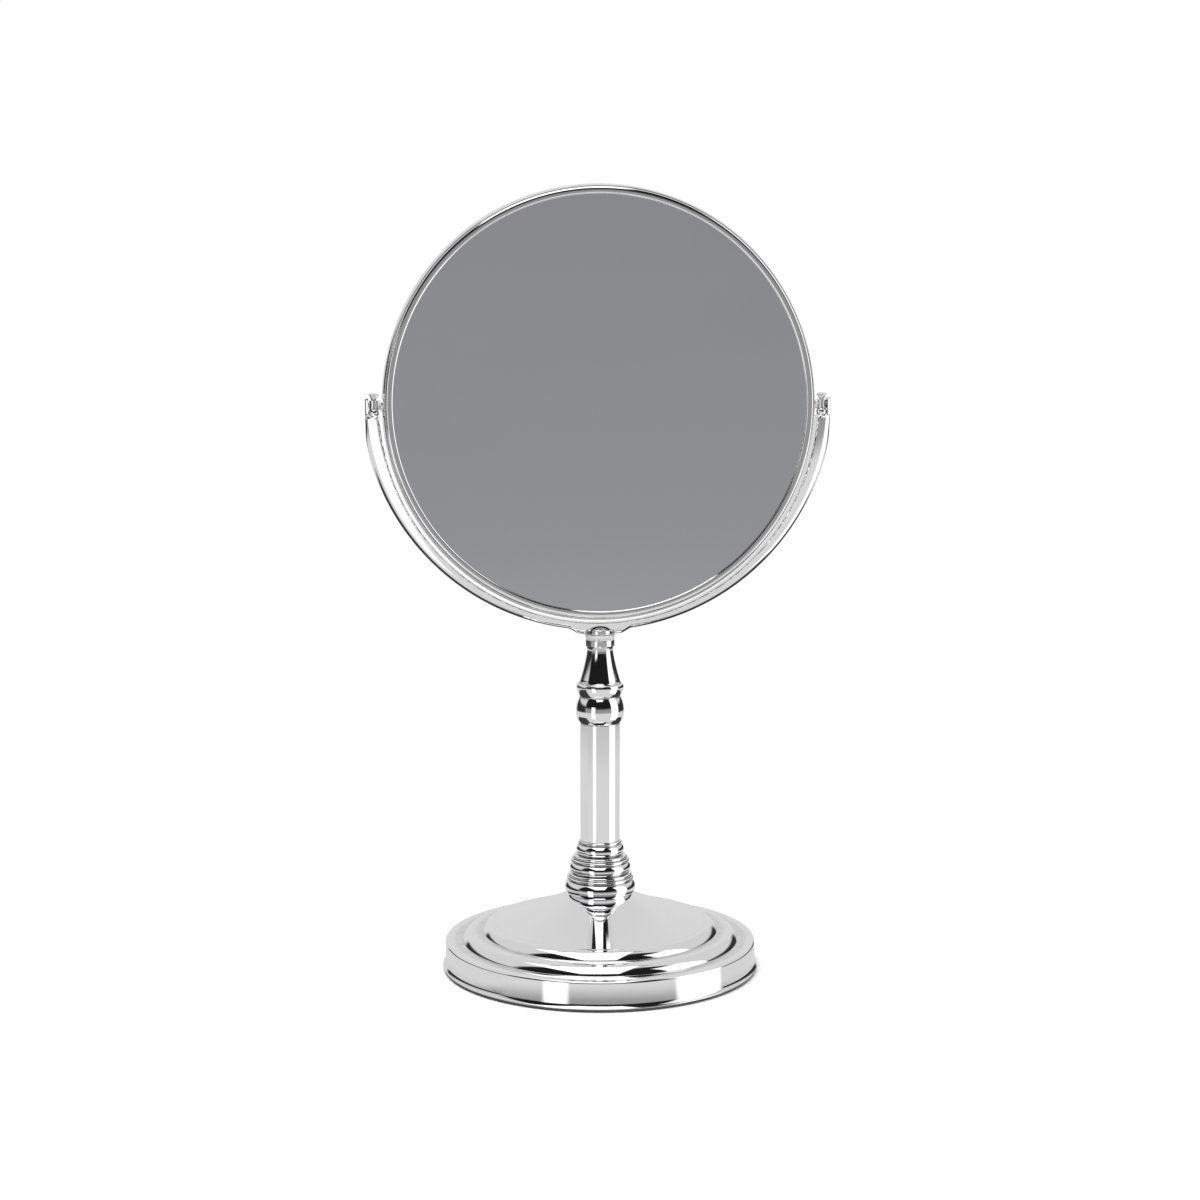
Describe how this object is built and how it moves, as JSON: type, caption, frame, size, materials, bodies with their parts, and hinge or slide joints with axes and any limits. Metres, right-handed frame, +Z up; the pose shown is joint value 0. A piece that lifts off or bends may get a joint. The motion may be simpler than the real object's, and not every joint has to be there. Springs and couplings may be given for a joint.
{
  "type": "pedestal shaving mirror",
  "caption": "Round two-sided shaving mirror, plain in front and magnifying behind, tipping in a yoke on a turned chrome column with a stepped round base.",
  "frame": {"origin": "middle of the underside, on the column's axis", "axes": "+Z is up, and -Y is the front, which the plain glass faces"},
  "size_m": [0.222, 0.153, 0.376],
  "materials": {
    "chrome": "polished",
    "chrome_tube": "polished",
    "mirror_glass": "polished",
    "steel": "satin",
    "brass": "satin",
    "cast_iron": "matte",
    "dark_rubber": "matte",
    "black_plastic": "matte",
    "white_plastic": "satin",
    "clear_plastic": "gloss",
    "hardboard": "matte",
    "foam": "matte"
  },
  "bodies": {
    "stand": {"non_slip_pad": "dark_rubber", "base_plate": "black_plastic", "base_weight": "cast_iron", "base_cover": "chrome", "base_nut": "steel", "base_washer": "steel", "ring_collar": "chrome", "column_tube": "chrome_tube", "baluster": "chrome", "tie_rod": "steel", "yoke_washer": "clear_plastic", "yoke": "chrome", "yoke_insert": "brass", "pivot_post_left": "chrome", "pivot_post_right": "chrome", "pivot_bush_left": "white_plastic", "pivot_bush_right": "white_plastic"},
    "mirror_head": {"frame_hoop": "chrome", "front_bezel": "chrome", "rear_bezel": "chrome", "plain_glass": "mirror_glass", "magnifying_glass": "mirror_glass", "core_board": "hardboard", "front_foam_pad": "foam", "rear_foam_pad": "foam", "pivot_pin_left": "steel", "pivot_pin_right": "steel", "friction_washer_left": "white_plastic", "friction_washer_right": "white_plastic"}
  },
  "joints": [
    {"name": "mirror_tilt", "type": "hinge", "parent": "stand", "child": "mirror_head", "pos_m": [0, 0, 0.273], "axis": [1, 0, 0], "continuous": true}
  ]
}
